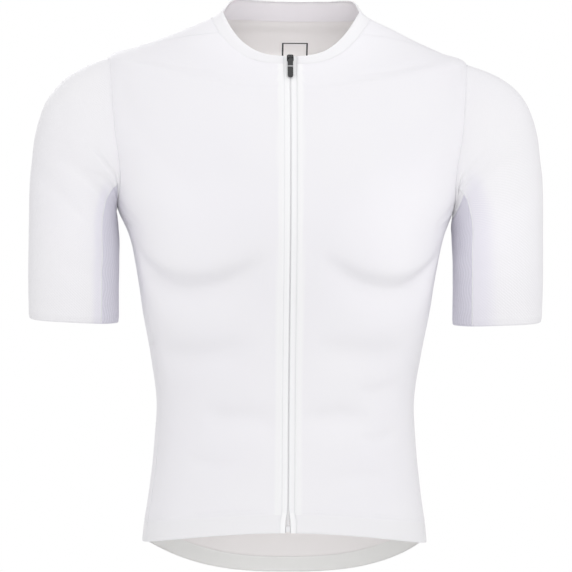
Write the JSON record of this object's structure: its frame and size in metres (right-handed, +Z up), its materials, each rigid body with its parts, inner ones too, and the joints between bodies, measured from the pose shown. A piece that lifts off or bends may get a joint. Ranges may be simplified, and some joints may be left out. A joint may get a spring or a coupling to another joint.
{
  "type": "cycling jersey",
  "caption": "Close-fitting short-sleeved jersey with a full-length front zip, a low collar band, mesh underarm panels, a dropped back hem and rear pockets, filled out as when worn.",
  "frame": {"origin": "between the shoulders, at the level where the shoulder seams meet the collar, in the side plane where the sleeves hang", "axes": "+Z up, -Y towards the front with the zip, +X towards the wearer's left"},
  "size_m": [0.5762, 0.2395, 0.6574],
  "materials": {
    "cloth": "smooth white stretch knit",
    "sleeve_cloth": "white stretch knit with fine perforations",
    "mesh": "open diagonal rib mesh, lilac grey",
    "collar_band": "folded band of stretch knit",
    "hem_band": "elastic hem band, matt",
    "zip_tape": "woven tape",
    "zip_coil": "nylon coil",
    "zip_box": "moulded retainer",
    "zip_slider": "black enamel",
    "pull_tab": "black, satin"
  },
  "bodies": {
    "garment": {"front_left": "cloth", "front_right": "cloth", "back": "cloth", "hem_front_left": "hem_band", "hem_front_right": "hem_band", "hem_back": "hem_band", "collar": "collar_band", "back_pockets": "cloth", "sleeve_left": "sleeve_cloth", "sleeve_right": "sleeve_cloth", "underarm_left": "mesh", "underarm_right": "mesh", "zip_tape_left": "zip_tape", "zip_tape_right": "zip_tape", "zip_coil": "zip_coil", "zip_box": "zip_box", "zip_slider": "zip_slider"},
    "pull_tab": {"pull_tab": "pull_tab"}
  },
  "joints": [
    {"name": "pull_tab_swing", "type": "hinge", "parent": "garment", "child": "pull_tab", "pos_m": [0, -0.07029, -0.04791], "axis": [-1, 0, 0], "range_deg": [0, 165]}
  ]
}
